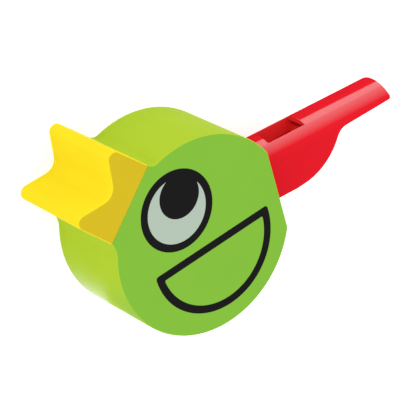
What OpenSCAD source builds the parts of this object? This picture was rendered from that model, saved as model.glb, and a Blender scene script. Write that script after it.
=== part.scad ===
// Wooden bird whistle, lying on the back of its round body.
// The origin is the centre of the round on the back face. +Z points out of the
// front face, +X runs along the whistle to its mouth end, and +Y is the bird's top.
// Millimetres.

/* [Body] */
// Diameter of the round wooden body
body_d = 60; // [54:0.5:70]
// Thickness of the body and of the beak, from back face to front face
body_t = 30; // [24:0.5:40]
// Depth of the flat that is cut off the round for the whistle to seat on
tail_cut = 2.9; // [2.5:0.1:4.5]
// Depth of the beak's pad below the top of the round
pad_cut = 0.4; // [0.2:0.1:1.2]
// Radius of the hollow blend from the round into the upper side of the beak's pad
pad_blend_r = 3; // [1:0.1:4]
// Radius of the hollow blend from the round into the lower side of the beak's pad
chin_blend_r = 8; // [3:0.1:10]

/* [Beak] */
// Direction of the beak, counted from the whistle's axis, in degrees
beak_angle = 131.5; // [120:0.1:145]
// Height of the beak across its two tips
beak_h = 23.2; // [20:0.1:27]
// Length of the beak from its pad to the tips
beak_len = 13.6; // [12:0.1:18]
// Extra height of the beak at its pad, on its lower side
beak_flare = 0.7; // [0:0.1:1.5]
// Slope of the two sides of the open mouth, in degrees
mouth_slope = 41; // [30:1:42]
// Radius of the two tips
tip_r = 2.2; // [1:0.1:3]
// Radius at the bottom of the open mouth
valley_r = 4; // [2:0.1:5]

/* [Beak dowels] */
// Diameter of the two dowels
dowel_d = 6; // [4:0.5:6.5]
// Distance between the two dowels
dowel_pitch = 12; // [10:0.5:14]
// Depth of the dowel holes in the body
dowel_in_body = 10; // [6:0.5:12]
// Depth of the dowel holes in the beak
dowel_in_beak = 6; // [4:0.5:7]
// Gap round a dowel, on the radius
dowel_clear = 0.05; // [0.02:0.01:0.2]
// Gap at each end of a dowel
dowel_end_gap = 0.3; // [0.1:0.1:0.6]

/* [Whistle shell] */
// Reach of the whistle from the tail flat to its mouth end
whistle_reach = 51; // [46:0.1:60]
// Width of the whistle
whistle_w = 16; // [14.4:0.1:17.2]
// Height of the crest above the whistle's axis at the mouth end
crest_h = 6.25; // [6:0.05:6.8]
// Fall of the crest towards the mouth end, in degrees
crest_slope = 4.5; // [3.5:0.1:5]
// Radius of the rounded top, across the whistle
dome_r = 9.1; // [8.8:0.1:10]
// Height of the mouthpiece's underside above the whistle's axis, at the mouth end
mouth_floor = 1.65; // [1.2:0.05:1.9]
// Rise of the mouthpiece's underside towards the belly
floor_rise = 0.45; // [0:0.05:0.8]
// Radius of the mouthpiece's lower corner, seen from the side
mouth_corner_r = 1; // [0.4:0.1:1]
// Depth of the belly below the whistle's axis, at the tail flat
belly_drop = 8.3; // [7.5:0.1:9]
// Rise of the belly's lower line from the tail flat to where it crosses the slope
belly_rise = 0.75; // [0:0.05:1]
// Length of the belly from the tail flat to where its two lines cross
belly_len = 23.1; // [22:0.1:26]
// Slope of the belly up to the mouthpiece, in degrees
belly_slope = 52; // [44:1:55]
// Radius of the belly's round
belly_r = 19.5; // [14:0.5:21]
// Radius of the hollow between belly and mouthpiece
throat_r = 5; // [2:0.1:5]

/* [Sound] */
// Distance from the tail flat to the sounding edge of the window
edge_x = 7.6; // [7:0.1:9]
// Length of the window
window_len = 13.5; // [11:0.1:14]
// Width of the window
window_w = 8.4; // [7:0.1:8.6]
// Height of the underside of the sounding edge above the axis
edge_h = 7.4; // [6.8:0.1:7.7]
// Length of the slope under the sounding edge
edge_len = 5; // [3:0.1:6]
// Width of the windway
windway_w = 7.6; // [6:0.1:8]
// Height of the windway
windway_h = 1.5; // [1.2:0.1:1.6]
// Thickness of the windway's roof at the crest
windway_roof = 1.8; // [1.7:0.1:2]
// Diameter of the chamber
chamber_d = 10.4; // [10:0.1:10.8]

/* [Socket] */
// Diameter of the whistle's spigot
spigot_d = 13.4; // [13:0.1:13.5]
// Depth of the socket bored into the body
socket_depth = 18; // [14:0.5:24]
// Gap round the spigot, on the radius
socket_clear = 0.05; // [0.02:0.01:0.2]
// Gap between the spigot's end and the bottom of the socket
socket_end_gap = 0.5; // [0.2:0.1:0.9]
// Thickness of the wall that closes the spigot
spigot_wall = 1.5; // [1.2:0.1:2.5]

/* [Pea] */
// Diameter of the pea, wider than the window so that it stays in
pea_d = 9.2; // [8.8:0.1:9.6]
// Gap between the pea and either end of the chamber when it stops there
pea_end_gap = 0.3; // [0.2:0.1:0.5]

/* [Half pins] */
// Diameter of the pins that line up the two halves of the whistle
pin_d = 1.6; // [1.2:0.1:1.6]
// Length of the pins
pin_len = 1.8; // [1.2:0.1:2.4]
// Gap round a pin and past its end
pin_clear = 0.05; // [0.02:0.01:0.1]
// Distance of the upper and lower pin from the tail flat
pin_from_flat = 3.5; // [2.5:0.1:5]
// Distance of the third pin past the window
pin_past_window = 5; // [3:0.1:6]

/* [Prints] */
// Thickness of the print, let in flush with the face
print_t = 0.2; // [0.1:0.05:0.4]
// Gap round the edge of a print
print_gap = 0.02; // [0.01:0.01:0.05]
// Place of the eye along the whistle's axis
eye_x = -6.4; // [-8:0.1:-5]
// Height of the eye above the whistle's axis
eye_y = 12.3; // [11:0.1:13]
// Diameter of the eye
eye_d = 24.5; // [22:0.1:26]
// Diameter of the white of the eye
eye_white_d = 19.8; // [18:0.1:21]
// Diameter of the pupil
pupil_d = 13.5; // [12:0.1:14.5]
// Offset of the pupil from the middle of the eye, along the axis and across it
pupil_offset = [2, 3.7]; // [1:0.1:5]
// Place of the middle of the wing's round along the whistle's axis
wing_x = 1.6; // [0:0.1:3]
// Height of the middle of the wing's round above the whistle's axis
wing_y = -4; // [-5:0.1:-3]
// Radius of the wing's outside
wing_r = 20.6; // [18:0.1:21.5]
// Height of the wing's straight side above the middle of its round
wing_rise = 1.2; // [0.5:0.1:2]
// Turn of the wing's straight side against the whistle's axis, in degrees
wing_turn = 1.5; // [-3:0.1:5]
// Width of the wing's line
wing_line = 2.4; // [1.5:0.1:3]
// Radius of the outside corners of the wing's line
wing_corner_r = 1; // [0.4:0.1:1.4]
// Radius of the inside corners of the wing's line
wing_inner_r = 0.5; // [0.2:0.1:0.8]

/* [Hidden] */
$fn = 96;
// Overshoot of a cutting tool past the face that it cuts
over = 1;
// Points along one rounded corner of an outline
corner_steps = 14;
// Overlap of a small round with the large one that it joins, so that they cross cleanly
join = 0.02;

body_r = body_d / 2;
mid_z = body_t / 2;
tail_flat = body_r - tail_cut;
beak_flat = body_r - pad_cut;
beak_low_t = beak_h / 2 + beak_flare;

// Open mouth of the beak, before its tips and valley are rounded
tip_n = beak_flat + beak_len;
tip_sharp_n = tip_n + tip_r * ((1 + sin(mouth_slope)) / cos(mouth_slope) - 1);
valley_sharp_n = tip_sharp_n - tan(mouth_slope) * beak_h / 2;
beak_corners = [
    [beak_flat, -beak_h / 2, 0],
    [tip_sharp_n, -beak_h / 2, tip_r],
    [valley_sharp_n, 0, valley_r],
    [tip_sharp_n, beak_h / 2, tip_r],
    [beak_flat, beak_low_t, 0]
];
dowel_len = dowel_in_body + dowel_in_beak - 2 * dowel_end_gap;

// Side view of the whistle, up to a line above its rounded top
mouth_x = tail_flat + whistle_reach;
belly_x = tail_flat + belly_len;
throat_y = mouth_floor + floor_rise;
throat_x = belly_x + (belly_drop - belly_rise + throat_y) / tan(belly_slope);
above = crest_h + whistle_reach * tan(crest_slope) + over;
side_corners = [
    [tail_flat, -belly_drop, 0],
    [belly_x, belly_rise - belly_drop, belly_r],
    [throat_x, throat_y, throat_r],
    [mouth_x, mouth_floor, mouth_corner_r],
    [mouth_x, above, 0],
    [tail_flat, above, 0]
];
window_x = tail_flat + edge_x;
window_end = window_x + window_len;
// The window's side walls start where they meet the round of the chamber
window_floor = sqrt(pow(chamber_d / 2, 2) - pow(window_w / 2, 2));

// Chamber, bored along the axis from inside the spigot to the end of the window
spigot_end = tail_flat - socket_depth + socket_end_gap;
chamber_start = spigot_end + spigot_wall;
pea_x = chamber_start + pea_end_gap + pea_d / 2;
pea_travel = window_end - pea_end_gap - pea_d / 2 - pea_x;
echo(pea_rest_x = pea_x, pea_travel = pea_travel);

// Middles of the pins: in the roof and the floor by the tail flat, and in the throat
crest_at_pin = crest_h + (whistle_reach - pin_from_flat) * tan(crest_slope);
pin_places = [
    [tail_flat + pin_from_flat, (crest_at_pin + chamber_d / 2) / 2],
    [tail_flat + pin_from_flat, -(belly_drop + chamber_d / 2) / 2],
    [window_end + pin_past_window, 0]
];

grass_green = [0.53, 0.76, 0.25];
beak_yellow = [0.99, 0.86, 0.13];
bare_wood = [0.82, 0.66, 0.45];
whistle_red = [0.89, 0.12, 0.17];
cork_brown = [0.76, 0.58, 0.38];
ink_black = [0.12, 0.11, 0.12];
ink_white = [0.72, 0.78, 0.72];

function unit(v) = v / norm(v);

function turn(a, b) = let (d = b - a) d > 180 ? d - 360 : d < -180 ? d + 360 : d;

// Points of one corner at b, between a and c, rounded to radius r
function rounded_corner(a, b, c, r) =
    r == 0 ? [b] :
    let (u = unit(a - b), v = unit(c - b))
    let (half = acos(u * v) / 2, mid = b + unit(u + v) * r / sin(half))
    let (from = b + u * r / tan(half) - mid, to = b + v * r / tan(half) - mid)
    let (start = atan2(from.y, from.x), sweep = turn(start, atan2(to.y, to.x)))
    [for (k = [0 : corner_steps])
        mid + r * [cos(start + sweep * k / corner_steps), sin(start + sweep * k / corner_steps)]];

// Outline of a list of corners, each given as x, y and its radius
function rounded_outline(corners) =
    let (n = len(corners), p = [for (c = corners) [c.x, c.y]])
    [for (i = [0 : n - 1])
        each rounded_corner(p[(i + n - 1) % n], p[i], p[(i + 1) % n], corners[i].z)];

// Cylinder along +X from x = 0
module rod_x(d, l) {
    rotate([0, 90, 0])
        cylinder(d = d, h = l);
}

// Centre of the hollow blend from the round into the pad's corner at a height t
function blend_centre(t, r) =
    let (corner = norm([beak_flat, t]), reach = body_r + r - join)
    let (past_corner = acos((pow(reach, 2) + pow(corner, 2) - pow(r, 2)) / (2 * reach * corner)))
    let (bearing = atan2(abs(t), beak_flat) + past_corner)
    reach * [cos(bearing), sign(t) * sin(bearing)];

// Pad of the beak on the round, with a hollow blend at each of its two corners
module beak_pad() {
    crown = blend_centre(-beak_h / 2, pad_blend_r);
    chin = blend_centre(beak_low_t, chin_blend_r);
    difference() {
        polygon([
            crown * body_r / norm(crown),
            [beak_flat + over, crown.y],
            [beak_flat + over, chin.y],
            chin * body_r / norm(chin)
        ]);
        translate(crown)
            circle(r = pad_blend_r);
        translate(chin)
            circle(r = chin_blend_r);
    }
}

module body_outline() {
    difference() {
        union() {
            circle(r = body_r);
            rotate(beak_angle)
                beak_pad();
        }
        translate([tail_flat, -body_d])
            square([body_d, 2 * body_d]);
        rotate(beak_angle)
            translate([beak_flat, -body_d])
                square([body_d, 2 * body_d]);
    }
}

// Children placed on the line of each dowel, with +X out of the beak's pad
module at_dowels() {
    rotate(beak_angle)
        for (side = [-1, 1])
            translate([beak_flat, side * dowel_pitch / 2, mid_z])
                children();
}

module dowel_holes() {
    at_dowels()
        translate([-dowel_in_body, 0, 0])
            rod_x(dowel_d + 2 * dowel_clear, dowel_in_body + dowel_in_beak);
}

// Flat shapes of the prints, grown by a gap on every edge
module eye_disc(grow) {
    translate([eye_x, eye_y])
        circle(r = eye_d / 2 + grow);
}

module eye_white_shape(grow) {
    translate([eye_x, eye_y])
        difference() {
            circle(r = eye_white_d / 2 + grow);
            translate(pupil_offset)
                circle(r = pupil_d / 2 - grow);
        }
}

// Round cut off by a straight side, with its two corners rounded
module wing_disc(r, rise, corner_r) {
    corner_x = sqrt(pow(r, 2) - pow(rise, 2));
    round_y = rise - corner_r;
    round_x = sqrt(pow(r - corner_r + join, 2) - pow(round_y, 2));
    difference() {
        circle(r = r);
        translate([-2 * r, rise])
            square([4 * r, 2 * r]);
        for (side = [0, 1])
            mirror([side, 0])
                difference() {
                    polygon([
                        [round_x, rise + over],
                        [round_x, rise],
                        [round_x, round_y] * r / (r - corner_r),
                        [corner_x + over, round_y],
                        [corner_x + over, rise + over]
                    ]);
                    translate([round_x, round_y])
                        circle(r = corner_r);
                }
    }
}

module wing_shape(grow) {
    translate([wing_x, wing_y])
        rotate(wing_turn)
            difference() {
                wing_disc(wing_r + grow, wing_rise + grow, wing_corner_r);
                wing_disc(wing_r - wing_line - grow, wing_rise - wing_line - grow, wing_inner_r);
            }
}

// Children given the thickness of a print, on the front or the back face
module on_face(front) {
    translate([0, 0, front ? body_t - print_t : 0])
        linear_extrude(print_t)
            children();
}

module print_recesses() {
    for (front = [false, true])
        translate([0, 0, front ? body_t - print_t : -over])
            linear_extrude(print_t + over) {
                eye_disc(print_gap);
                wing_shape(print_gap);
            }
}

module body_block() {
    color(grass_green)
        difference() {
            linear_extrude(body_t)
                body_outline();
            translate([tail_flat - socket_depth, 0, mid_z])
                rod_x(spigot_d + 2 * socket_clear, socket_depth + over);
            dowel_holes();
            print_recesses();
        }
}

module beak() {
    color(beak_yellow)
        difference() {
            rotate(beak_angle)
                linear_extrude(body_t)
                    polygon(rounded_outline(beak_corners));
            dowel_holes();
        }
}

module beak_dowels() {
    color(bare_wood)
        at_dowels()
            translate([dowel_end_gap - dowel_in_body, 0, 0])
                rod_x(dowel_d, dowel_len);
}

// Rounded top of the whistle, with straight sides below it, following the crest
module dome_bar() {
    deep = above + belly_drop + dome_r;
    run = whistle_reach / cos(crest_slope) + 4 * over;
    translate([mouth_x, crest_h, mid_z])
        rotate([0, 0, -crest_slope])
            translate([2 * over, 0, 0])
                rotate([0, -90, 0])
                    linear_extrude(run)
                        intersection() {
                            translate([-whistle_w / 2, -deep])
                                square([whistle_w, deep]);
                            union() {
                                translate([0, -dome_r])
                                    circle(r = dome_r);
                                translate([-dome_r, -deep])
                                    square([2 * dome_r, deep - dome_r]);
                            }
                        }
}

// Windway, straight and parallel to the crest, from the mouth end to the window
module windway() {
    translate([mouth_x, crest_h, mid_z])
        rotate([0, 0, -crest_slope])
            translate([-(mouth_x - window_end) - over, -windway_roof - windway_h, -windway_w / 2])
                cube([mouth_x - window_end + 2 * over, windway_h, windway_w]);
}

// Window through the top into the chamber, and the slope under its sounding edge
module window() {
    translate([window_x, window_floor, mid_z - window_w / 2])
        cube([window_len, above, window_w]);
    translate([0, 0, mid_z - window_w / 2])
        linear_extrude(window_w)
            polygon([
                [window_x - edge_len, window_floor],
                [window_x + over, window_floor],
                [window_x + over, edge_h],
                [window_x, edge_h],
                [window_x - edge_len, chamber_d / 2]
            ]);
}

module whistle_shell() {
    difference() {
        union() {
            intersection() {
                dome_bar();
                translate([0, 0, mid_z - whistle_w])
                    linear_extrude(2 * whistle_w)
                        polygon(rounded_outline(side_corners));
            }
            translate([spigot_end, 0, mid_z])
                rod_x(spigot_d, socket_depth + over);
        }
        translate([chamber_start, 0, mid_z])
            rod_x(chamber_d, window_end - chamber_start);
        window();
        windway();
    }
}

// One half of the shell, cut at the seam in the middle of its width
module half_shell(front) {
    intersection() {
        whistle_shell();
        translate([0, -body_d, front ? mid_z : mid_z - whistle_w])
            cube([2 * mouth_x, 2 * body_d, whistle_w]);
    }
}

module half_pins(d, l) {
    for (place = pin_places)
        translate([place.x, place.y, mid_z - over])
            cylinder(d = d, h = l + over);
}

module whistle_front_half() {
    color(whistle_red)
        difference() {
            half_shell(true);
            half_pins(pin_d + 2 * pin_clear, pin_len + pin_clear);
        }
}

module whistle_back_half() {
    color(whistle_red)
        union() {
            half_shell(false);
            half_pins(pin_d, pin_len);
        }
}

module whistle_pea() {
    color(cork_brown)
        translate([pea_x, 0, mid_z])
            sphere(d = pea_d);
}

module eye_ink(front) {
    color(ink_black)
        on_face(front)
            difference() {
                eye_disc(0);
                eye_white_shape(print_gap);
            }
}

module eye_white(front) {
    color(ink_white)
        on_face(front)
            eye_white_shape(0);
}

module wing_ink(front) {
    color(ink_black)
        on_face(front)
            wing_shape(0);
}

body_block();
beak();
beak_dowels();
whistle_front_half();
whistle_back_half();
whistle_pea();
eye_ink(true);  // front_eye_ink
eye_white(true);  // front_eye_white
wing_ink(true);  // front_wing_line
eye_ink(false);  // back_eye_ink
eye_white(false);  // back_eye_white
wing_ink(false);  // back_wing_line
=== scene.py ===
# Looks of the wooden bird whistle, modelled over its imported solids.
# Sizes are in millimetres unless a name says otherwise, in the frame of the solids:
# +X along the whistle to its mouth end, +Y the bird's top, +Z out of the front face.
from math import acos, atan2, copysign, cos, degrees, hypot, radians, sin, sqrt, tan

import bpy
from mathutils import Matrix, Vector


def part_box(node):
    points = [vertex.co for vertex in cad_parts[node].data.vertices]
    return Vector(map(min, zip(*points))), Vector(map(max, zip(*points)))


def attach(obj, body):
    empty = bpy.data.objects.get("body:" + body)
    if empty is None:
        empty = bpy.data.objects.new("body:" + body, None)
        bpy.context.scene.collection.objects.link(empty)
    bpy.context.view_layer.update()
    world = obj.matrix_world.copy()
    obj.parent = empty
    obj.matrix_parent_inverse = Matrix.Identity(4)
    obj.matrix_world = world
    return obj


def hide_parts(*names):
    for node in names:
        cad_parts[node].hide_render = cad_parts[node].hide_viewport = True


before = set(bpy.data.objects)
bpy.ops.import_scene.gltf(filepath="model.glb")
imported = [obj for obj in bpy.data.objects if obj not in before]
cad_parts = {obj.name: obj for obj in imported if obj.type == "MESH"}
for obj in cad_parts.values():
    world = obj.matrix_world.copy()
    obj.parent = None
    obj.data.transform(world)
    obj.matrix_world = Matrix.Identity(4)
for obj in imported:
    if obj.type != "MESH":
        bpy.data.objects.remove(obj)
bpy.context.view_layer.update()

MM = 0.001
ALONG = Vector((1, 0, 0))
UP = Vector((0, 0, 1))

# Body, beak and whistle as the solids give them
body_low, body_high = (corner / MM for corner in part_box("body_block"))
whistle_low, whistle_high = (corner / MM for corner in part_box("whistle_front_half"))
pea_low, pea_high = (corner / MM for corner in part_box("whistle_pea"))
body_r = -body_low.y
body_t = body_high.z
mid_z = body_t / 2
tail_flat = body_high.x
spigot_end = whistle_low.x
mouth_x = whistle_high.x
whistle_w = 2 * (whistle_high.z - mid_z)
belly_drop = -whistle_low.y

# Wooden pieces
wood_edge_r = 0.4
tail_corner_r = 2
pad_flat = body_r - 0.4
pad_blend_r = 3
chin_blend_r = 8
glue_line = 0.15
beak_angle = 131.5
beak_h = 23.2
beak_flare = 0.7
beak_tip = pad_flat + 13.6
mouth_slope = 41
tip_r = 2.2
valley_r = 4
dowel_hole_d = 6.1
dowel_pitch = 12
dowel_in_body = 10
dowel_in_beak = 6
socket_d = 13.5
socket_depth = 18

# Whistle
crest_h = 6.25
crest_slope = 4.5
dome_r = 9.1
shoulder_r = 1.2
mouth_floor = 1.65
floor_rise = 0.45
mouth_corner_r = 1
belly_rise = 0.75
belly_x = tail_flat + 23.1
belly_slope = 52
belly_r = 19.5
throat_r = 5
whistle_edge_r = 0.85
window_x = tail_flat + 7.6
window_end = window_x + 13.5
window_w = 8.4
window_edge_r = 0.25
edge_h = 7.4
edge_len = 5
windway_w = 7.6
windway_h = 1.5
windway_roof = 1.8
chamber_d = 10.4
spigot_d = 13.4
spigot_wall = 1.5
seam_gap = 0.03
inside_middle = Vector(((window_x + window_end) / 2, 3, mid_z))

# Prints, as films that stand a hair proud of the wood
film_proud = 0.03
film_t = 0.05
white_over_black = 0.01
eye_at = Vector((-6.4, 12.3, 0))
eye_d = 24.5
eye_white_d = 19.8
pupil_d = 13.5
pupil_at = eye_at + Vector((2, 3.7, 0))
wing_at = Vector((1.6, -4, 0))
wing_r = 20.6
wing_rise = 1.2
wing_turn = 1.5
wing_line = 2.4
wing_corner_r = 1
wing_inner_r = 0.5

# Cork pea
pit_depth = 0.25
pit_size = 1.2

# Cutting tools reach this far past what they cut
over = 3

# Points this close are one point, and edges this short are crumbs of a cut
same_point = 0.001
crumb = 0.003

# A point this close to a cut lies on it, and a point this close to the dome lies on that
cut_slack = 0.01
dome_slack = 0.05

# Degrees between the points of an arc, and the fewest steps on one
arc_step = 2.5
arc_min_steps = 6


# Modelling tools


def pick(piece):
    """Makes one piece the only selected one."""
    bpy.ops.object.select_all(action="DESELECT")
    piece.select_set(True)
    bpy.context.view_layer.objects.active = piece


def apply_modifier(piece, modifier):
    pick(piece)
    bpy.ops.object.modifier_apply(modifier=modifier.name)


class Outline:
    """A closed outline, drawn by lines and arcs, that is pulled into a solid."""

    def __init__(self, name, start, axis=UP):
        self.axis = axis
        bpy.ops.object.select_all(action="DESELECT")
        bpy.ops.mesh.primitive_plane_add(size=MM, location=start * MM)
        self.piece = bpy.context.object
        self.piece.name = name
        self.piece.data.name = name
        bpy.ops.object.transform_apply(location=True, rotation=True, scale=True)
        bpy.ops.object.mode_set(mode="EDIT")
        bpy.ops.mesh.select_mode(type="VERT")
        bpy.ops.mesh.select_all(action="SELECT")
        self.merge_start(start)

    def merge_start(self, start):
        bpy.ops.mesh.merge(type="CENTER")
        self.tip = start

    def new_loop(self, start):
        """Starts a second loop in the same mesh."""
        bpy.ops.mesh.select_all(action="DESELECT")
        bpy.ops.mesh.primitive_plane_add(size=MM, location=start * MM)
        self.merge_start(start)

    def line(self, end):
        step = end - self.tip
        bpy.ops.mesh.extrude_vertices_move(TRANSFORM_OT_translate={"value": step * MM})
        self.tip = end

    def arc(self, centre, turn):
        """An arc about a centre. A positive turn is anticlockwise about the axis."""
        steps = max(arc_min_steps, round(abs(turn) / arc_step))
        bpy.ops.mesh.spin(
            steps=steps, angle=-radians(turn), center=centre * MM, axis=self.axis
        )
        self.tip = centre + Matrix.Rotation(radians(turn), 3, self.axis) @ (self.tip - centre)

    def corners(self, places, radii):
        """Lines through the places after the first, each corner rounded to its radius."""
        for i in range(1, len(places)):
            corner = places[i]
            back = (places[i - 1] - corner).normalized()
            ahead = (places[(i + 1) % len(places)] - corner).normalized()
            if radii[i] == 0:
                self.line(corner)
                continue
            half = acos(back.dot(ahead)) / 2
            self.line(corner + back * radii[i] / tan(half))
            centre = corner + (back + ahead).normalized() * radii[i] / sin(half)
            left = (-back).cross(ahead).dot(self.axis) > 0
            turn = 180 - degrees(2 * half)
            self.arc(centre, turn if left else -turn)

    def close(self):
        bpy.ops.mesh.select_all(action="SELECT")
        bpy.ops.mesh.remove_doubles(threshold=same_point * MM)

    def fill(self):
        self.close()
        bpy.ops.mesh.edge_face_add()

    def fill_between(self):
        """Fills the ring between two loops."""
        self.close()
        bpy.ops.mesh.select_mode(type="EDGE")
        bpy.ops.mesh.bridge_edge_loops()

    def pull(self, depth):
        """Pulls the filled face along a vector and gives the solid."""
        bpy.ops.mesh.select_all(action="SELECT")
        bpy.ops.mesh.extrude_region_move(TRANSFORM_OT_translate={"value": depth * MM})
        bpy.ops.mesh.select_all(action="SELECT")
        bpy.ops.mesh.normals_make_consistent(inside=False)
        bpy.ops.object.mode_set(mode="OBJECT")
        return self.piece


def solid(name, places, radii, depth, axis=UP):
    outline = Outline(name, places[0], axis)
    outline.corners(places, radii)
    outline.fill()
    return outline.pull(depth)


def rod(name, d, start, end):
    """A round cutting tool or spigot between two points."""
    outline = Outline(name, start + Vector((0, 0, d / 2)), (end - start).normalized())
    outline.arc(start, 360)
    outline.fill()
    return outline.pull(end - start)


def combine(piece, tool, operation):
    """Cuts, keeps or adds a tool's solid, and throws the tool away."""
    modifier = piece.modifiers.new("combined", "BOOLEAN")
    modifier.operation = operation
    modifier.solver = "EXACT"
    modifier.object = tool
    apply_modifier(piece, modifier)
    mesh = tool.data
    bpy.data.objects.remove(tool)
    bpy.data.meshes.remove(mesh)


def round_edges(piece, radius, segments, sharper_than):
    modifier = piece.modifiers.new("rounded", "BEVEL")
    modifier.width = radius * MM
    modifier.segments = segments
    modifier.limit_method = "ANGLE"
    modifier.angle_limit = radians(sharper_than)
    apply_modifier(piece, modifier)


def round_chosen_edges(piece, radius, segments, chosen):
    """Rounds the edges that have both ends in chosen places."""
    pick(piece)
    bpy.ops.object.mode_set(mode="EDIT")
    bpy.ops.mesh.select_mode(type="EDGE")
    bpy.ops.mesh.select_all(action="DESELECT")
    bpy.ops.object.mode_set(mode="OBJECT")
    mesh = piece.data
    for edge in mesh.edges:
        edge.select = all(chosen(mesh.vertices[i].co / MM) for i in edge.vertices)
    bpy.ops.object.mode_set(mode="EDIT")
    bpy.ops.mesh.bevel(offset=radius * MM, segments=segments)
    bpy.ops.object.mode_set(mode="OBJECT")


def weld(piece):
    """Welds the crumbs of edges that cutting leaves."""
    pick(piece)
    bpy.ops.object.mode_set(mode="EDIT")
    bpy.ops.mesh.select_all(action="SELECT")
    bpy.ops.mesh.remove_doubles(threshold=crumb * MM)
    bpy.ops.mesh.dissolve_degenerate(threshold=same_point * MM)
    bpy.ops.object.mode_set(mode="OBJECT")


def saw_off(piece, place, facing):
    """Saws off what lies past a plane, and closes the cut."""
    pick(piece)
    bpy.ops.object.mode_set(mode="EDIT")
    bpy.ops.mesh.select_all(action="SELECT")
    bpy.ops.mesh.bisect(
        plane_co=place * MM, plane_no=facing, use_fill=True, clear_outer=True
    )
    bpy.ops.object.mode_set(mode="OBJECT")


def smooth(piece, angle=30):
    """Smooth shading, with the flat faces kept flat."""
    pick(piece)
    bpy.ops.object.shade_smooth_by_angle(angle=radians(angle))
    modifier = piece.modifiers.new("flat faces", "WEIGHTED_NORMAL")
    modifier.keep_sharp = True
    modifier.weight = 100
    apply_modifier(piece, modifier)


def hand_over(piece, body, replaced, material):
    """Sets a finished piece on its body, in place of its solid."""
    piece.data.materials.clear()
    piece.data.materials.append(material)
    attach(piece, body)
    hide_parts(replaced)


# Materials

# The Mix node has a set of sockets for each kind of value, and these are the ones for colours
mix_first = 6
mix_second = 7
mix_result = 2


def new_material(name):
    made = bpy.data.materials.new(name)
    made.use_nodes = True
    tree = made.node_tree
    return made, tree, tree.nodes["Principled BSDF"]


def node(tree, kind, **values):
    """Adds a node and sets the inputs that are named, with _ for a space."""
    made = tree.nodes.new(kind)
    for name, value in values.items():
        made.inputs[name.replace("_", " ")].default_value = value
    return made


def own_place(tree):
    """The place on the piece, in its own coordinates."""
    return node(tree, "ShaderNodeTexCoord").outputs["Object"]


def own_normal(tree):
    """The way the surface faces, in the piece's own coordinates."""
    return node(tree, "ShaderNodeTexCoord").outputs["Normal"]


def facing(tree, axis):
    """How far the surface faces along one axis of the piece."""
    parts = node(tree, "ShaderNodeSeparateXYZ")
    tree.links.new(own_normal(tree), parts.inputs["Vector"])
    return parts.outputs[axis]


def spread(tree, value, low, high):
    """Maps a mask from 0 to 1 onto a range."""
    made = node(tree, "ShaderNodeMapRange", To_Min=low, To_Max=high)
    tree.links.new(value, made.inputs["Value"])
    return made.outputs["Result"]


def ramp(tree, value, none_at, full_at, most=1, soft=False):
    """Mask that rises from 0, where the value is none_at, to its most, where it is full_at."""
    made = node(tree, "ShaderNodeMapRange", From_Min=none_at, From_Max=full_at, To_Max=most)
    if soft:
        made.interpolation_type = "SMOOTHSTEP"
    tree.links.new(value, made.inputs["Value"])
    return made.outputs["Result"]


def calculate(tree, operation, first, second):
    made = node(tree, "ShaderNodeMath")
    made.operation = operation
    tree.links.new(first, made.inputs[0])
    tree.links.new(second, made.inputs[1])
    return made.outputs["Value"]


def reach_along(tree, vector, direction):
    """How far a vector reaches along a direction."""
    made = node(tree, "ShaderNodeVectorMath")
    made.operation = "DOT_PRODUCT"
    tree.links.new(vector, made.inputs[0])
    made.inputs[1].default_value = direction
    return made.outputs["Value"]


def noise(tree, stretch, detail):
    """Noise on the piece's own coordinates, with a number of grains per metre on each axis."""
    mapping = node(tree, "ShaderNodeMapping", Scale=stretch)
    made = node(tree, "ShaderNodeTexNoise", Scale=1, Detail=detail)
    tree.links.new(own_place(tree), mapping.inputs["Vector"])
    tree.links.new(mapping.outputs["Vector"], made.inputs["Vector"])
    return made.outputs["Fac"]


def toned(tree, colour, value):
    """A colour made lighter or darker by a value."""
    made = node(tree, "ShaderNodeVectorMath")
    made.operation = "SCALE"
    tree.links.new(colour, made.inputs["Vector"])
    tree.links.new(value, made.inputs["Scale"])
    return made.outputs["Vector"]


def two_colours(tree, factor, first, second):
    """One colour where the factor is 0, and another where it is 1."""
    made = node(tree, "ShaderNodeMix")
    made.name = "two colours"
    made.data_type = "RGBA"
    tree.links.new(factor, made.inputs["Factor"])
    made.inputs[mix_first].default_value = (*first, 1)
    made.inputs[mix_second].default_value = (*second, 1)
    return made.outputs[mix_result]


def shades(tree, value, first, last, last_at=1):
    """Shades from one colour to another, as a value rises."""
    made = node(tree, "ShaderNodeValToRGB")
    start, end = made.color_ramp.elements
    start.color = (*first, 1)
    end.color = (*last, 1)
    end.position = last_at
    tree.links.new(value, made.inputs["Fac"])
    return made.outputs["Color"]


def bump(tree, height, shader, strength, depth):
    made = node(tree, "ShaderNodeBump", Strength=strength, Distance=depth * MM)
    tree.links.new(height, made.inputs["Height"])
    tree.links.new(made.outputs["Normal"], shader.inputs["Normal"])


def new_group(name, inputs, outputs):
    group = bpy.data.node_groups.new(name, "ShaderNodeTree")
    for direction, sockets in (("INPUT", inputs), ("OUTPUT", outputs)):
        for socket, kind in sockets:
            group.interface.new_socket(socket, in_out=direction, socket_type=kind)
    ways_in = group.nodes.new("NodeGroupInput")
    ways_out = group.nodes.new("NodeGroupOutput")
    return group, ways_in.outputs, ways_out.inputs


def paint_group():
    """Sprayed paint over sanded wood: a little of the grain and of the spray shows."""
    colour, value = "NodeSocketColor", "NodeSocketFloat"
    group, given, out = new_group(
        "paint over grain",
        [("Paint", colour)],
        [("Colour", colour), ("Roughness", value), ("Height", value)],
    )
    grain = noise(group, (90, 900, 900), 5)
    spray = noise(group, (1600, 1600, 1600), 2)
    clouds = noise(group, (60, 60, 60), 2)
    group.links.new(toned(group, given["Paint"], spread(group, clouds, 0.96, 1.04)), out["Colour"])
    group.links.new(spread(group, spray, 0.34, 0.44), out["Roughness"])
    height = calculate(group, "ADD", grain, spread(group, spray, 0, 0.35))
    group.links.new(height, out["Height"])
    return group


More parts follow.
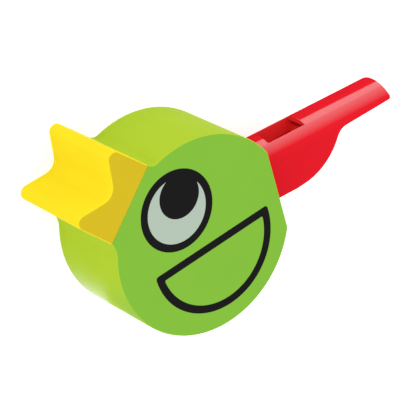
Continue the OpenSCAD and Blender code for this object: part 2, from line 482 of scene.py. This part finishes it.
def painted(tree, shader, paint, group):
    """Puts a paint colour through the paint group into the shader."""
    film = tree.nodes.new("ShaderNodeGroup")
    film.node_tree = group
    tree.links.new(paint, film.inputs["Paint"])
    tree.links.new(film.outputs["Colour"], shader.inputs["Base Color"])
    tree.links.new(film.outputs["Roughness"], shader.inputs["Roughness"])
    shader.inputs["Specular IOR Level"].default_value = 0.004
    bump(tree, film.outputs["Height"], shader, strength=0.25, depth=0.05)


def plain_colour(tree, colour):
    made = node(tree, "ShaderNodeRGB")
    made.outputs[0].default_value = (*colour, 1)
    return made.outputs[0]


def fading(tree, place, reach, full_at, most):
    """Mask that fades out round a place, to nothing at a reach along each axis."""
    scale = Vector((1 / reach.x, 1 / reach.y, 1 / reach.z))
    near = node(tree, "ShaderNodeMapping", Scale=scale / MM, Location=-place * scale)
    tree.links.new(own_place(tree), near.inputs["Vector"])
    apart = node(tree, "ShaderNodeVectorMath")
    apart.operation = "LENGTH"
    tree.links.new(near.outputs["Vector"], apart.inputs[0])
    return ramp(tree, apart.outputs["Value"], none_at=1, full_at=full_at, most=most, soft=True)


def paint_with_shaded_faces(name, group, face_colour_with_shade, rim_colour):
    """One colour on the two flat faces, and another round the rim and on the rounded edges. The
    faces' colour holds painted shade, darker than the rim as if the faces got less light.
    """
    made, tree, shader = new_material(name)
    flatness = node(tree, "ShaderNodeMath")
    flatness.operation = "ABSOLUTE"
    tree.links.new(facing(tree, "Z"), flatness.inputs[0])
    on_face = ramp(tree, flatness.outputs["Value"], none_at=0.82, full_at=0.96)
    painted(tree, shader, two_colours(tree, on_face, rim_colour, face_colour_with_shade), group)
    return made


def add_painted_shade_on_low_rim(made, place, reach):
    """Painted shade: mixes the faces' green into the rim round a place, darker and greener where
    the rim turns down.
    """
    tree = made.node_tree
    factor = tree.nodes["two colours"].inputs["Factor"]
    on_face = factor.links[0].from_socket
    painted_shade = fading(tree, place, reach, full_at=0.2, most=0.55)
    tree.links.new(calculate(tree, "MAXIMUM", on_face, painted_shade), factor)


def add_shine(made, place, reach, slant, end, fade):
    """Makes a paint glossier round a place, up to a line that slants across the rim."""
    tree = made.node_tree
    shader = tree.nodes["Principled BSDF"]
    across = reach_along(tree, own_place(tree), slant)
    inside = ramp(tree, across, (end + fade) * MM, (end - fade) * MM, soft=True)
    patch = fading(tree, place, reach, full_at=0.1, most=0.8)
    tree.links.new(calculate(tree, "MULTIPLY", patch, inside), shader.inputs["Coat Weight"])
    shader.inputs["Coat Roughness"].default_value = 0.2
    shader.inputs["Coat IOR"].default_value = 2


def inner_walls(tree):
    """Mask of the whistle's inner walls, which face a point in the middle of its window; these
    walls get painted light.
    """
    from_middle = node(tree, "ShaderNodeVectorMath")
    from_middle.operation = "SUBTRACT"
    tree.links.new(own_place(tree), from_middle.inputs[0])
    from_middle.inputs[1].default_value = inside_middle * MM
    outward = node(tree, "ShaderNodeVectorMath")
    outward.operation = "DOT_PRODUCT"
    tree.links.new(from_middle.outputs["Vector"], outward.inputs[0])
    tree.links.new(own_normal(tree), outward.inputs[1])
    return ramp(tree, outward.outputs["Value"], none_at=0.1 * MM, full_at=-0.3 * MM)


def crest_polish(tree):
    """Mask of the crest's polish, which ends where the crest turns away from the eye."""
    crest = ramp(tree, facing(tree, "Y"), none_at=0.6, full_at=0.86)
    turned_away = node(tree, "ShaderNodeLayerWeight", Blend=0.5).outputs["Facing"]
    toward_eye = ramp(tree, turned_away, none_at=0.405, full_at=0.375)
    return calculate(tree, "MULTIPLY", crest, toward_eye)


def whistle_plastic():
    """Moulded plastic with faint flow marks, polished on the crest, with painted light making its
    inner walls paler.
    """
    made, tree, shader = new_material("red_plastic")
    inner = inner_walls(tree)
    # Painted light: a paler red on the inner walls, standing in for light that reaches into the
    # window
    red = two_colours(tree, inner, (0.824, 0.0141, 0.0255), (1, 0.034, 0.04))
    flow = noise(tree, (120, 400, 400), 3)
    marked = toned(tree, red, spread(tree, flow, 0.97, 1.03))
    tree.links.new(marked, shader.inputs["Base Color"])
    haze = noise(tree, (700, 700, 700), 2)
    tree.links.new(spread(tree, haze, 0.3, 0.4), shader.inputs["Roughness"])
    outer = spread(tree, inner, 1, 0)
    polish = calculate(tree, "MULTIPLY", crest_polish(tree), outer)
    tree.links.new(polish, shader.inputs["Coat Weight"])
    shader.inputs["Coat Roughness"].default_value = 0.03
    shader.inputs["Coat IOR"].default_value = 2.1
    shader.inputs["Specular IOR Level"].default_value = 0
    bump(tree, haze, shader, strength=0.05, depth=0.01)
    return made


def ink(name, colour):
    """Screen-printed ink with a fine, uneven skin."""
    made, tree, shader = new_material(name)
    skin = noise(tree, (2200, 2200, 2200), 3)
    base = plain_colour(tree, colour)
    tree.links.new(toned(tree, base, spread(tree, skin, 0.9, 1.1)), shader.inputs["Base Color"])
    tree.links.new(spread(tree, skin, 0.38, 0.5), shader.inputs["Roughness"])
    shader.inputs["Specular IOR Level"].default_value = 0.01
    bump(tree, skin, shader, strength=0.15, depth=0.02)
    return made


def pea_cork():
    """Pressed cork: pale grains with dark gaps between them."""
    made, tree, shader = new_material("cork")
    grains = node(tree, "ShaderNodeTexVoronoi", Scale=900)
    tree.links.new(own_place(tree), grains.inputs["Vector"])
    gaps = grains.outputs["Distance"]
    colour = shades(tree, gaps, (0.55, 0.34, 0.17), (0.22, 0.11, 0.05), last_at=0.8)
    tree.links.new(colour, shader.inputs["Base Color"])
    tree.links.new(spread(tree, gaps, 0.7, 0.9), shader.inputs["Roughness"])
    return made


def dowel_wood():
    made, tree, shader = new_material("bare_wood")
    grain = noise(tree, (300, 300, 2600), 5)
    colour = shades(tree, grain, (0.42, 0.26, 0.13), (0.68, 0.49, 0.29))
    tree.links.new(colour, shader.inputs["Base Color"])
    tree.links.new(spread(tree, grain, 0.55, 0.7), shader.inputs["Roughness"])
    bump(tree, grain, shader, strength=0.3, depth=0.05)
    return made


# Wooden pieces


def beak_at(n, t, z=0.0):
    """A point at a height n along the beak's direction and t across it."""
    a = radians(beak_angle)
    return Vector((n * cos(a) - t * sin(a), n * sin(a) + t * cos(a), z))


def on_axis(x):
    """A point on the axis of the whistle's spigot."""
    return Vector((x, 0, mid_z))


def drill_dowel_holes(piece):
    for side in (-1, 1):
        t = side * dowel_pitch / 2
        start = beak_at(pad_flat - dowel_in_body, t, mid_z)
        end = beak_at(pad_flat + dowel_in_beak, t, mid_z)
        combine(piece, rod("dowel_drill", dowel_hole_d, start, end), "DIFFERENCE")


def on_glue_line(place):
    return abs(place.dot(beak_at(1, 0)) - pad_flat) < cut_slack


class PadBlend:
    """Hollow blend from the round into a corner of the beak's pad."""

    def __init__(self, t, r):
        reach = body_r + r
        corner = hypot(pad_flat, t)
        past_corner = acos((reach**2 + corner**2 - r**2) / (2 * reach * corner))
        self.bearing = degrees(atan2(abs(t), pad_flat) + past_corner)
        self.turn = degrees(acos((reach**2 + r**2 - corner**2) / (2 * reach * r)))
        n = reach * cos(radians(self.bearing))
        centre_t = copysign(reach * sin(radians(self.bearing)), t)
        lean = (n - pad_flat) / (t - centre_t)
        self.centre = beak_at(n, centre_t, film_proud)
        self.corner = beak_at(pad_flat, t, film_proud)
        self.past_pad = beak_at(pad_flat + over, t + lean * over, film_proud)


def body_block():
    """Round block with a flat for the whistle and a pad for the beak."""
    z = film_proud
    corner_x = tail_flat - tail_corner_r
    corner_y = sqrt((body_r - tail_corner_r) ** 2 - corner_x**2)
    corner_turn = degrees(atan2(corner_y, corner_x))
    crown = PadBlend(-beak_h / 2, pad_blend_r)
    chin = PadBlend(beak_h / 2 + beak_flare, chin_blend_r)
    middle = Vector((0, 0, z))
    outline = Outline("wooden_body", Vector((tail_flat, -corner_y, z)))
    outline.line(Vector((tail_flat, corner_y, z)))
    outline.arc(Vector((corner_x, corner_y, z)), corner_turn)
    outline.arc(middle, beak_angle - crown.bearing - corner_turn)
    outline.arc(crown.centre, -crown.turn)
    outline.line(crown.past_pad)
    outline.line(chin.past_pad)
    outline.line(chin.corner)
    outline.arc(chin.centre, -chin.turn)
    outline.arc(middle, 360 - corner_turn - beak_angle - chin.bearing)
    outline.arc(Vector((corner_x, -corner_y, z)), corner_turn)
    outline.fill()
    block = outline.pull(UP * (body_t - 2 * film_proud))
    round_edges(block, wood_edge_r, segments=6, sharper_than=40)
    saw_off(block, beak_at(pad_flat, 0), beak_at(1, 0))
    round_chosen_edges(block, glue_line, segments=2, chosen=on_glue_line)
    drill_dowel_holes(block)
    bottom = on_axis(tail_flat - socket_depth)
    combine(block, rod("socket_drill", socket_d, bottom, on_axis(tail_flat + over)), "DIFFERENCE")
    smooth(block)
    return block


def beak():
    """Block with an open mouth, as thick as the body, that widens to its pad below."""
    z = film_proud
    half = beak_h / 2
    slope = radians(mouth_slope)
    tip_sharp = beak_tip + tip_r * ((1 + sin(slope)) / cos(slope) - 1)
    valley_sharp = tip_sharp - tan(slope) * half
    widening = beak_flare * (tip_sharp - pad_flat + over) / (tip_sharp - pad_flat)
    places = [
        beak_at(pad_flat - over, -half, z),
        beak_at(tip_sharp, -half, z),
        beak_at(valley_sharp, 0, z),
        beak_at(tip_sharp, half, z),
        beak_at(pad_flat - over, half + widening, z),
    ]
    radii = [0, tip_r, valley_r, tip_r, 0]
    block = solid("wooden_beak", places, radii, UP * (body_t - 2 * film_proud))
    round_edges(block, wood_edge_r, segments=6, sharper_than=40)
    saw_off(block, beak_at(pad_flat, 0), -beak_at(1, 0))
    round_chosen_edges(block, glue_line, segments=2, chosen=on_glue_line)
    drill_dowel_holes(block)
    smooth(block)
    return block


# Prints


def eye_black(name, z):
    outline = Outline(name, eye_at + Vector((eye_d / 2, 0, z)))
    outline.arc(eye_at + UP * z, 360)
    outline.fill()
    return outline.pull(UP * film_t)


def eye_white(name, z):
    """Crescent between the white's round and the pupil's."""
    toward = pupil_at - eye_at
    apart = toward.length
    white_r = eye_white_d / 2
    pupil_r = pupil_d / 2
    from_eye = (apart**2 + white_r**2 - pupil_r**2) / (2 * apart)
    horn_turn = degrees(acos(from_eye / white_r))
    pupil_turn = degrees(acos((from_eye - apart) / pupil_r))
    start = Matrix.Rotation(radians(horn_turn), 3, UP) @ toward.normalized() * white_r
    outline = Outline(name, eye_at + start + UP * z)
    outline.arc(eye_at + UP * z, 360 - 2 * horn_turn)
    outline.arc(pupil_at + UP * z, 2 * pupil_turn - 360)
    outline.fill()
    return outline.pull(UP * film_t)


def turned_wing(x, y):
    return wing_at + Matrix.Rotation(radians(wing_turn), 3, UP) @ Vector((x, y, 0))


def wing_loop(outline, r, rise, corner_r):
    """Round cut off by a straight side, from the left end of that side."""
    low = rise - corner_r
    reach = sqrt((r - corner_r) ** 2 - low**2)
    end_turn = 90 - degrees(atan2(low, reach))
    outline.line(turned_wing(reach, rise))
    outline.arc(turned_wing(reach, low), -end_turn)
    outline.arc(wing_at, -(360 - 2 * end_turn))
    outline.arc(turned_wing(-reach, low), -end_turn)


def wing_black(name, z):
    inner_r = wing_r - wing_line
    inner_rise = wing_rise - wing_line
    start = -sqrt((wing_r - wing_corner_r) ** 2 - (wing_rise - wing_corner_r) ** 2)
    inner_start = -sqrt((inner_r - wing_inner_r) ** 2 - (inner_rise - wing_inner_r) ** 2)
    outline = Outline(name, turned_wing(start, wing_rise))
    wing_loop(outline, wing_r, wing_rise, wing_corner_r)
    outline.new_loop(turned_wing(inner_start, inner_rise))
    wing_loop(outline, inner_r, inner_rise, wing_inner_r)
    outline.fill_between()
    film = outline.pull(UP * film_t)
    film.data.transform(Matrix.Translation(UP * z * MM))
    return film


# Whistle


def crest_at(x):
    return crest_h + (mouth_x - x) * tan(radians(crest_slope))


def dome_bar():
    """Long bar with the whistle's width and rounded top, along the crest."""
    x = mouth_x + over
    top = crest_at(x)
    half = whistle_w / 2
    up_to_shoulder = sqrt((dome_r - shoulder_r) ** 2 - (half - shoulder_r) ** 2)
    shoulder_y = top - dome_r + up_to_shoulder
    dome_turn = degrees(atan2(half - shoulder_r, up_to_shoulder))
    low = -belly_drop - over
    outline = Outline("dome_bar", Vector((x, low, mid_z + half)), ALONG)
    outline.line(Vector((x, shoulder_y, mid_z + half)))
    outline.arc(Vector((x, shoulder_y, mid_z + half - shoulder_r)), dome_turn - 90)
    outline.arc(Vector((x, top - dome_r, mid_z)), -2 * dome_turn)
    outline.arc(Vector((x, shoulder_y, mid_z - half + shoulder_r)), dome_turn - 90)
    outline.line(Vector((x, low, mid_z - half)))
    outline.fill()
    run = x - tail_flat + 2 * over
    return outline.pull(Vector((-run, run * tan(radians(crest_slope)), 0)))


def side_slab():
    """Slab with the whistle's side view, wider than the whistle."""
    z = mid_z - whistle_w
    throat_y = mouth_floor + floor_rise
    belly_y = belly_rise - belly_drop
    throat_x = belly_x + (throat_y - belly_y) / tan(radians(belly_slope))
    top = crest_at(tail_flat - over) + over
    places = [
        Vector((tail_flat - over, top, z)),
        Vector((tail_flat - over, -belly_drop, z)),
        Vector((belly_x, belly_y, z)),
        Vector((throat_x, throat_y, z)),
        Vector((mouth_x, mouth_floor, z)),
        Vector((mouth_x, top, z)),
    ]
    radii = [0, 0, belly_r, throat_r, mouth_corner_r, 0]
    return solid("whistle_shell", places, radii, UP * 2 * whistle_w)


def bore_through(shell, name, corners, width):
    """Cuts an upright opening with straight sides, from the corners of its side view."""
    z = mid_z - width / 2
    places = [Vector((x, y, z)) for x, y in corners]
    combine(shell, solid(name, places, [0] * len(places), UP * width), "DIFFERENCE")


def cut_window(shell):
    """Opening through the crest, and the slope under the sounding edge at its tail end."""
    top = crest_at(window_x) + over
    corners = [(window_x, 0), (window_end, 0), (window_end, top), (window_x, top)]
    bore_through(shell, "window", corners, window_w)
    slope_corners = [
        (window_x - edge_len, 0),
        (window_x + over, 0),
        (window_x + over, edge_h),
        (window_x, edge_h),
        (window_x - edge_len, chamber_d / 2),
    ]
    bore_through(shell, "edge_slope", slope_corners, window_w)


def cut_windway(shell):
    """Flat slot from the mouth end to the window, along the crest."""
    inner = window_end - over
    outer = mouth_x + over
    corners = [
        (inner, crest_at(inner) - windway_roof - windway_h),
        (outer, crest_at(outer) - windway_roof - windway_h),
        (outer, crest_at(outer) - windway_roof),
        (inner, crest_at(inner) - windway_roof),
    ]
    bore_through(shell, "windway", corners, windway_w)


def dome_y(place):
    """Height of the dome over or under a place."""
    return crest_at(place.x) - dome_r + sqrt(dome_r**2 - (place.z - mid_z) ** 2)


def on_window_rim(place):
    """Whether a place is on the rim that the window leaves in the dome."""
    past_side = abs(place.z - mid_z) - window_w / 2
    past_end = max(window_x - place.x, place.x - window_end)
    if max(past_side, past_end) > cut_slack:
        return False
    on_edge = max(past_side, past_end) > -cut_slack
    return on_edge and abs(place.y - dome_y(place)) < dome_slack


def whistle_shell():
    """The whole whistle, before it is cut in two."""
    shell = side_slab()
    combine(shell, dome_bar(), "INTERSECT")
    weld(shell)
    round_edges(shell, whistle_edge_r, segments=5, sharper_than=50)
    weld(shell)
    saw_off(shell, ALONG * tail_flat, -ALONG)
    spigot = rod("spigot", spigot_d, on_axis(spigot_end), on_axis(tail_flat + over))
    combine(shell, spigot, "UNION")
    chamber_start = spigot_end + spigot_wall
    chamber = rod("chamber", chamber_d, on_axis(chamber_start), on_axis(window_end))
    combine(shell, chamber, "DIFFERENCE")
    cut_window(shell)
    cut_windway(shell)
    return shell


def seam_block(z, depth):
    """Block that takes in all of the whistle on one side of its seam."""
    low = Vector((spigot_end - over, -belly_drop - over, z))
    high = Vector((mouth_x + over, crest_at(spigot_end) + over, z))
    places = [low, Vector((high.x, low.y, z)), high, Vector((low.x, high.y, z))]
    return solid("seam_block", places, [0, 0, 0, 0], UP * depth)


def whistle_halves():
    """Front and back half of the shell, cut apart at the seam."""
    front = whistle_shell()
    front.name = "whistle_front"
    back = front.copy()
    back.data = front.data.copy()
    back.name = "whistle_back"
    bpy.context.scene.collection.objects.link(back)
    for half, side in ((front, 1), (back, -1)):
        block = seam_block(mid_z + side * seam_gap, side * whistle_w)
        combine(half, block, "INTERSECT")
        round_chosen_edges(half, window_edge_r, segments=3, chosen=on_window_rim)
        weld(half)
        smooth(half)
    return front, back


def pea():
    """Cork ball with a pitted skin, inside the pea's round."""
    middle = (pea_low + pea_high) / 2
    radius = (pea_high.x - pea_low.x) / 2 - pit_depth
    bpy.ops.object.select_all(action="DESELECT")
    bpy.ops.mesh.primitive_ico_sphere_add(
        subdivisions=5, radius=radius * MM, location=middle * MM
    )
    ball = bpy.context.object
    ball.name = "cork_pea"
    bpy.ops.object.transform_apply(location=True, rotation=True, scale=True)
    pits = bpy.data.textures.new("pits", "CLOUDS")
    pits.noise_scale = pit_size * MM
    modifier = ball.modifiers.new("pits", "DISPLACE")
    modifier.texture = pits
    modifier.texture_coords = "LOCAL"
    modifier.strength = pit_depth * MM
    apply_modifier(ball, modifier)
    smooth(ball, angle=60)
    return ball


# Camera, floor and light

# The bird lies on its back face, but is pictured upright with its tail rising. The
# camera's angles are those for the upright bird, and the camera turns with it.
tail_rise = radians(17.5)
upright_right = Vector((cos(tail_rise), -sin(tail_rise), 0))
upright_up = Vector((sin(tail_rise), cos(tail_rise), 0))
upright_toward = UP
view_azimuth = radians(-35.94)
view_elevation = radians(20.51)
view_distance = 647.2
view_right = 7.28
view_up = 5.88
lens_mm = 202.5
sensor_mm = 36

# Floor, a hair below the bird so that the two never share a plane
floor_size = 8000
floor_drop = 0.02

# Strength of the light from the studio's ceiling and walls
ceiling_light = 0.63
wall_light = 1.79


def upright(right, toward, up):
    return upright_right * right + upright_toward * toward + upright_up * up


def make_camera():
    back = upright(
        sin(view_azimuth) * cos(view_elevation),
        cos(view_azimuth) * cos(view_elevation),
        sin(view_elevation),
    )
    right = upright(cos(view_azimuth), -sin(view_azimuth), 0)
    top = back.cross(right)
    place = UP * mid_z + back * view_distance + right * view_right + top * view_up
    camera = bpy.data.objects.new("camera", bpy.data.cameras.new("camera"))
    camera.data.lens = lens_mm
    camera.data.sensor_width = sensor_mm
    turned = Matrix((right, top, back)).transposed().to_4x4()
    camera.matrix_world = Matrix.Translation(place * MM) @ turned
    bpy.context.scene.collection.objects.link(camera)
    bpy.context.scene.camera = camera


def seen_rays(tree):
    """1 for rays from the camera, from gloss and through glass, and 0 for the light itself."""
    rays = node(tree, "ShaderNodeLightPath").outputs
    seen = calculate(tree, "MAXIMUM", rays["Is Camera Ray"], rays["Is Glossy Ray"])
    return calculate(tree, "MAXIMUM", seen, rays["Is Transmission Ray"])


def make_floor():
    """Pale floor that shows white and keeps a soft shadow."""
    bpy.ops.object.select_all(action="DESELECT")
    bpy.ops.mesh.primitive_plane_add(size=floor_size * MM, location=-UP * floor_drop * MM)
    floor = bpy.context.object
    floor.name = "floor"
    made, tree, shader = new_material("pale_floor")
    shader.inputs["Base Color"].default_value = (0.8, 0.8, 0.8, 1)
    shader.inputs["Roughness"].default_value = 0.9
    shader.inputs["Specular IOR Level"].default_value = 0
    shader.inputs["Emission Color"].default_value = (1, 1, 1, 1)
    tree.links.new(spread(tree, seen_rays(tree), 0, 0.6), shader.inputs["Emission Strength"])
    floor.data.materials.append(made)


def make_light():
    """Studio with bright walls all round and a dim ceiling, that shows white."""
    world = bpy.data.worlds.new("studio")
    bpy.context.scene.world = world
    world.use_nodes = True
    tree = world.node_tree
    direction = node(tree, "ShaderNodeTexCoord").outputs["Generated"]
    below = reach_along(tree, direction, upright(0, -1, 0.05))
    walls = node(tree, "ShaderNodeMapRange", From_Min=-1, From_Max=0.1)
    walls.inputs["To Min"].default_value = ceiling_light
    walls.inputs["To Max"].default_value = wall_light
    tree.links.new(below, walls.inputs["Value"])
    shown = node(tree, "ShaderNodeMix", B=1)
    tree.links.new(seen_rays(tree), shown.inputs["Factor"])
    tree.links.new(walls.outputs["Result"], shown.inputs["A"])
    tree.links.new(shown.outputs["Result"], tree.nodes["Background"].inputs["Strength"])
    tree.nodes["Background"].inputs["Color"].default_value = (1, 1, 1, 1)


make_camera()
make_floor()
make_light()

paint = paint_group()
# Body: the faces get a second green, which also holds painted shade
green = paint_with_shaded_faces(
    "green_paint", paint, face_colour_with_shade=(0.244, 0.545, 0.0525), rim_colour=(0.46, 0.65, 0.039)
)
# Beak: one yellow, its faces a darker copy of it as painted shade
yellow = paint_with_shaded_faces(
    "yellow_paint", paint, face_colour_with_shade=(0.725, 0.53, 0.0205), rim_colour=(1, 0.8, 0.021)
)

# Painted shade on the rim below the beak, darker and greener towards the front face's green where
# the rim turns down
low_rim_shade_at = upright(-22, body_t, -20)
add_painted_shade_on_low_rim(green, low_rim_shade_at, reach=Vector((17, 17, 17)))

# Gloss low on the rim, on the side of the back face
shine_at = upright(-16.5, 7, -25)
shine_slant = Vector((0.3, -0.742, 1))
add_shine(green, shine_at, reach=Vector((23, 23, 60)), slant=shine_slant, end=14, fade=3)

red = whistle_plastic()
black = ink("black_ink", (0.0125, 0.0115, 0.0125))
# White ink: its own off-white, greyed further by painted shade like the faces' colours
white = ink("white_ink", (0.484, 0.582, 0.484))

hand_over(body_block(), "bird", "body_block", green)
hand_over(beak(), "bird", "beak", yellow)
front_half, back_half = whistle_halves()
hand_over(front_half, "bird", "whistle_front_half", red)
hand_over(back_half, "bird", "whistle_back_half", red)
hand_over(pea(), "pea", "whistle_pea", pea_cork())

front_top = body_t - film_t
for face, black_z, white_z in (
    ("front", front_top - white_over_black, front_top),
    ("back", white_over_black, 0),
):
    eye = eye_black(face + "_eye_black", black_z)
    hand_over(eye, "bird", face + "_eye_ink", black)
    crescent = eye_white(face + "_eye_crescent", white_z)
    hand_over(crescent, "bird", face + "_eye_white", white)
    wing = wing_black(face + "_wing", black_z)
    hand_over(wing, "bird", face + "_wing_line", black)

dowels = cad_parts["beak_dowels"]
dowels.data.materials.clear()
dowels.data.materials.append(dowel_wood())

bpy.context.scene.view_settings.view_transform = "Standard"
